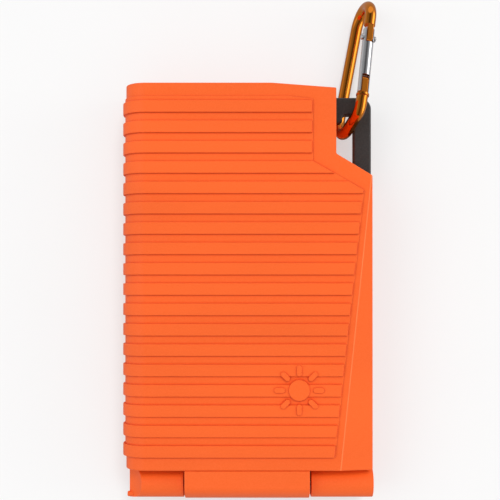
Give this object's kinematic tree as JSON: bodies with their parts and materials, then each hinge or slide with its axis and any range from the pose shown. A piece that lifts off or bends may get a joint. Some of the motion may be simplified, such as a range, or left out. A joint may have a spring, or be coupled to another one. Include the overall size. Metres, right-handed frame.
{
  "type": "folding solar phone charger",
  "caption": "Folding solar phone charger: ribbed orange battery base with side ports under a flap, hinged lid, a solar panel inside each half, corner loop and spring-gate carabiner.",
  "frame": {"origin": "on the flat top of a rear rib, in the plane that the charger rests on, near the middle of the base", "axes": "+X to the port side, +Y from the hinge to the carabiner corner, +Z out of the lid's ribbed face"},
  "size_m": [0.1095, 0.2171, 0.035],
  "materials": {
    "cover_orange": "matte soft-touch TPU",
    "chassis_black": "fine grained",
    "solar_laminate": "dark cells under a clear textured film",
    "cell_foil": "laminated foil",
    "pad_foam": "matte foam",
    "board_green": "solder mask",
    "switch_black": "moulded",
    "port_steel": "nickel plated sheet",
    "button_rubber": "matte",
    "lens_clear": "milky clear",
    "magnet_nickel": "nickel plated",
    "screw_steel": "machined",
    "pin_steel": "ground",
    "lead_rubber": "matte jacket",
    "carabiner_gold": "polished, anodised amber",
    "gate_silver": "polished"
  },
  "bodies": {
    "base": {"rear_cover": "cover_orange", "battery_tray": "chassis_black", "base_panel_frame": "chassis_black", "base_solar_panel": "solar_laminate", "battery_cell_left": "cell_foil", "battery_cell_right": "cell_foil", "battery_pad": "pad_foam", "battery_lead": "lead_rubber", "control_board": "board_green", "usb_a_port_1": "port_steel", "usb_a_port_2": "port_steel", "usb_c_port": "port_steel", "power_switch": "switch_black", "indicator_lens": "lens_clear", "base_magnet_1": "magnet_nickel", "base_magnet_2": "magnet_nickel", "hinge_pin": "pin_steel", "hinge_sleeve": "pin_steel", "panel_lead_base": "lead_rubber", "case_screw_1": "screw_steel", "case_screw_2": "screw_steel", "case_screw_3": "screw_steel", "case_screw_4": "screw_steel"},
    "lid": {"front_cover": "cover_orange", "lid_panel_frame": "chassis_black", "lid_solar_panel": "solar_laminate", "panel_lead_lid": "lead_rubber", "lid_magnet_1": "magnet_nickel", "lid_magnet_2": "magnet_nickel", "lid_screw_1": "screw_steel", "lid_screw_2": "screw_steel", "lid_screw_3": "screw_steel", "lid_screw_4": "screw_steel"},
    "flap": {"port_flap": "cover_orange"},
    "button": {"power_button": "button_rubber", "switch_plunger": "switch_black"},
    "carabiner": {"carabiner_body": "carabiner_gold", "carabiner_rivet": "gate_silver"},
    "gate": {"carabiner_gate": "gate_silver", "gate_plunger": "pin_steel", "gate_spring": "pin_steel"}
  },
  "joints": [
    {"name": "lid_hinge", "type": "hinge", "parent": "base", "child": "lid", "pos_m": [0, -0.0829, 0.0205], "axis": [1, 0, 0], "range_deg": [0, 180]},
    {"name": "port_flap_hinge", "type": "hinge", "parent": "base", "child": "flap", "pos_m": [0.0509, -0.0434, 0.01075], "axis": [0, 0, -1], "range_deg": [0, 95]},
    {"name": "power_button_press", "type": "slide", "parent": "base", "child": "button", "axis": [-1, 0, 0], "range_m": [0, 0.0005], "stiffness_N_per_m": 600, "springref_m": -0.0005},
    {"name": "carabiner_swing", "type": "hinge", "parent": "base", "child": "carabiner", "pos_m": [0.04372, 0.07822, 0.01414], "axis": [0.9531, -0.1801, -0.2431], "range_deg": [0, 40]},
    {"name": "gate_hinge", "type": "hinge", "parent": "carabiner", "child": "gate", "pos_m": [0.05119, 0.10907, 0.02059], "axis": [0.9531, -0.1801, -0.2431], "range_deg": [0, 13], "stiffness_Nm_per_rad": 0.02, "springref_deg": -17.19}
  ]
}
